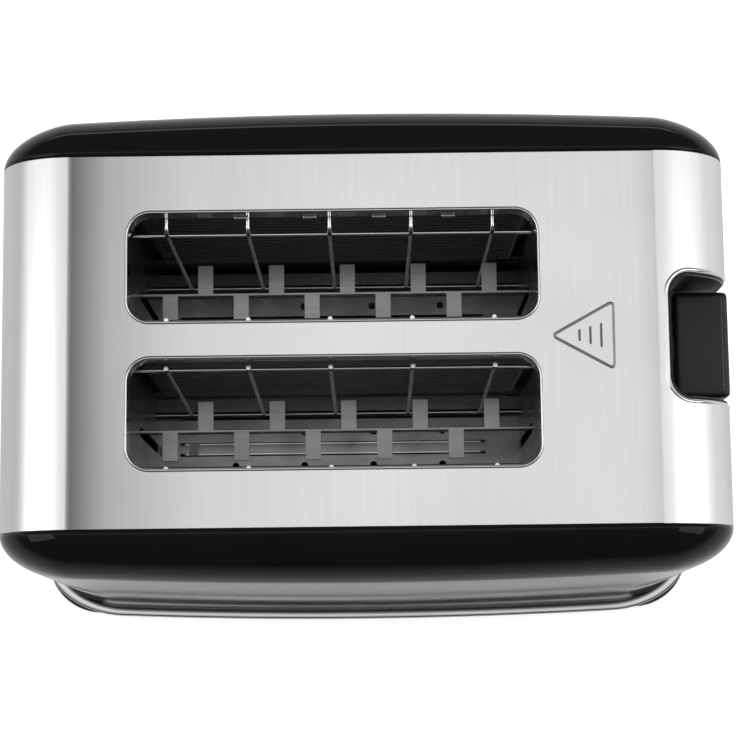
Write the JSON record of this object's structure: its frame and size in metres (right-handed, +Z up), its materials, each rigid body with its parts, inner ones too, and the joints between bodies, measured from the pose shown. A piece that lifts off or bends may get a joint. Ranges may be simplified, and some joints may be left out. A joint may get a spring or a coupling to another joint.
{
  "type": "two-slice toaster",
  "caption": "Pop-up toaster with a satin steel band over glossy black side covers, long bread slots, an end lever, browning dial, push keys and a crumb tray.",
  "frame": {"origin": "on the standing surface, under the middle of the bounding box", "axes": "+X to the lever end, -Y to the front cover, +Z up out of the bread slots"},
  "size_m": [0.284, 0.1876, 0.19],
  "materials": {
    "steel_band": "satin stainless with bright bends",
    "gloss_black": "high gloss moulding",
    "polished_trim": "polished",
    "base_black": "fine texture",
    "foot_rubber": "matt",
    "liner_black": "satin",
    "lever_black": "satin",
    "panel_black": "satin gloss",
    "white_mark": "moulded inlay",
    "button_grey": "satin",
    "plated_sheet": "plated sheet",
    "bright_sheet": "bright rolled sheet",
    "carrier_steel": "bright edge, dull face",
    "bright_wire": "plated wire",
    "core_iron": "plain",
    "copper_coil": "enamelled copper wire",
    "bushing_brass": "plain",
    "terminal_plastic": "matt",
    "board_green": "solder mask",
    "screw_steel": "plated",
    "mica": "pressed mica sheet",
    "heater_alloy": "resistance wire"
  },
  "bodies": {
    "toaster_body": {"steel_wrap": "steel_band", "lever_end_band": "steel_band", "front_slot_frame": "polished_trim", "rear_slot_frame": "polished_trim", "front_cover": "gloss_black", "rear_cover": "gloss_black", "base_housing": "base_black", "base_trim": "polished_trim", "rubber_feet": "foot_rubber", "lever_bezel": "liner_black", "guide_rod": "bright_wire", "top_brace": "plated_sheet", "return_spring": "bright_wire", "magnet_yoke": "core_iron", "magnet_coil": "copper_coil", "mains_switch": "terminal_plastic", "switch_blades": "bushing_brass", "left_end_plate": "plated_sheet", "right_end_plate": "plated_sheet", "front_slot_floor": "plated_sheet", "rear_slot_floor": "plated_sheet", "front_reflector": "bright_sheet", "centre_reflector": "bright_sheet", "rear_reflector": "bright_sheet", "front_outer_heater_card": "mica", "front_inner_heater_card": "mica", "rear_inner_heater_card": "mica", "rear_outer_heater_card": "mica", "front_outer_heater_ribbon": "heater_alloy", "front_inner_heater_ribbon": "heater_alloy", "rear_inner_heater_ribbon": "heater_alloy", "rear_outer_heater_ribbon": "heater_alloy", "control_panel": "panel_black", "control_board": "board_green", "board_screws": "screw_steel", "button_switches": "panel_black", "timer_potentiometer": "terminal_plastic", "cord_gland": "foot_rubber", "terminal_block": "terminal_plastic", "case_screws": "screw_steel", "frame_screws": "screw_steel"},
    "carriage": {"front_bread_carrier": "carrier_steel", "rear_bread_carrier": "carrier_steel", "carriage_bracket": "plated_sheet", "carriage_bushing": "bushing_brass", "lever_arm": "plated_sheet", "lever_knob": "lever_black", "magnet_armature": "core_iron"},
    "front_outer_guard": {"front_outer_bread_guard": "bright_wire"},
    "front_inner_guard": {"front_inner_bread_guard": "bright_wire"},
    "rear_inner_guard": {"rear_inner_bread_guard": "bright_wire"},
    "rear_outer_guard": {"rear_outer_bread_guard": "bright_wire"},
    "cancel_key": {"cancel_button": "button_grey"},
    "reheat_key": {"reheat_button": "button_grey"},
    "defrost_key": {"defrost_button": "button_grey"},
    "browning_dial": {"browning_knob": "lever_black", "knob_pointer": "white_mark", "timer_shaft": "bright_wire"},
    "crumb_drawer": {"crumb_tray": "plated_sheet", "crumb_tray_handle": "gloss_black"}
  },
  "joints": [
    {"name": "carriage_slide", "type": "slide", "parent": "toaster_body", "child": "carriage", "axis": [0, 0, 1], "range_m": [-0.06, 0], "stiffness_N_per_m": 50, "springref_m": 0.06, "deforming": ["return_spring"]},
    {"name": "front_inner_guard_hinge", "type": "hinge", "parent": "toaster_body", "child": "front_inner_guard", "pos_m": [-0.0099, -0.0123, 0.069], "axis": [1, 0, 0], "range_deg": [0, 2.6]},
    {"name": "front_outer_guard_hinge", "type": "hinge", "parent": "toaster_body", "child": "front_outer_guard", "pos_m": [-0.0099, -0.0395, 0.069], "axis": [1, 0, 0], "range_deg": [-2.6, 0]},
    {"name": "rear_inner_guard_hinge", "type": "hinge", "parent": "toaster_body", "child": "rear_inner_guard", "pos_m": [-0.0099, 0.0123, 0.069], "axis": [1, 0, 0], "range_deg": [-2.6, 0]},
    {"name": "rear_outer_guard_hinge", "type": "hinge", "parent": "toaster_body", "child": "rear_outer_guard", "pos_m": [-0.0099, 0.0395, 0.069], "axis": [1, 0, 0], "range_deg": [0, 2.6]},
    {"name": "cancel_key_press", "type": "slide", "parent": "toaster_body", "child": "cancel_key", "axis": [-1, 0, 0], "range_m": [0, 0.0018], "stiffness_N_per_m": 400, "springref_m": -0.001},
    {"name": "reheat_key_press", "type": "slide", "parent": "toaster_body", "child": "reheat_key", "axis": [-1, 0, 0], "range_m": [0, 0.0018], "stiffness_N_per_m": 400, "springref_m": -0.001},
    {"name": "defrost_key_press", "type": "slide", "parent": "toaster_body", "child": "defrost_key", "axis": [-1, 0, 0], "range_m": [0, 0.0018], "stiffness_N_per_m": 400, "springref_m": -0.001},
    {"name": "browning_turn", "type": "hinge", "parent": "toaster_body", "child": "browning_dial", "pos_m": [0.1364, 0, 0.04], "axis": [1, 0, 0], "range_deg": [-135, 135]},
    {"name": "crumb_tray_slide", "type": "slide", "parent": "toaster_body", "child": "crumb_drawer", "axis": [-1, 0, 0], "range_m": [0, 0.185]}
  ],
  "couplings": [
    {"joint": "front_inner_guard_hinge", "follows": "carriage_slide", "rad_per_m": -0.75555},
    {"joint": "front_outer_guard_hinge", "follows": "carriage_slide", "rad_per_m": 0.75555},
    {"joint": "rear_inner_guard_hinge", "follows": "carriage_slide", "rad_per_m": 0.75555},
    {"joint": "rear_outer_guard_hinge", "follows": "carriage_slide", "rad_per_m": -0.75555}
  ]
}
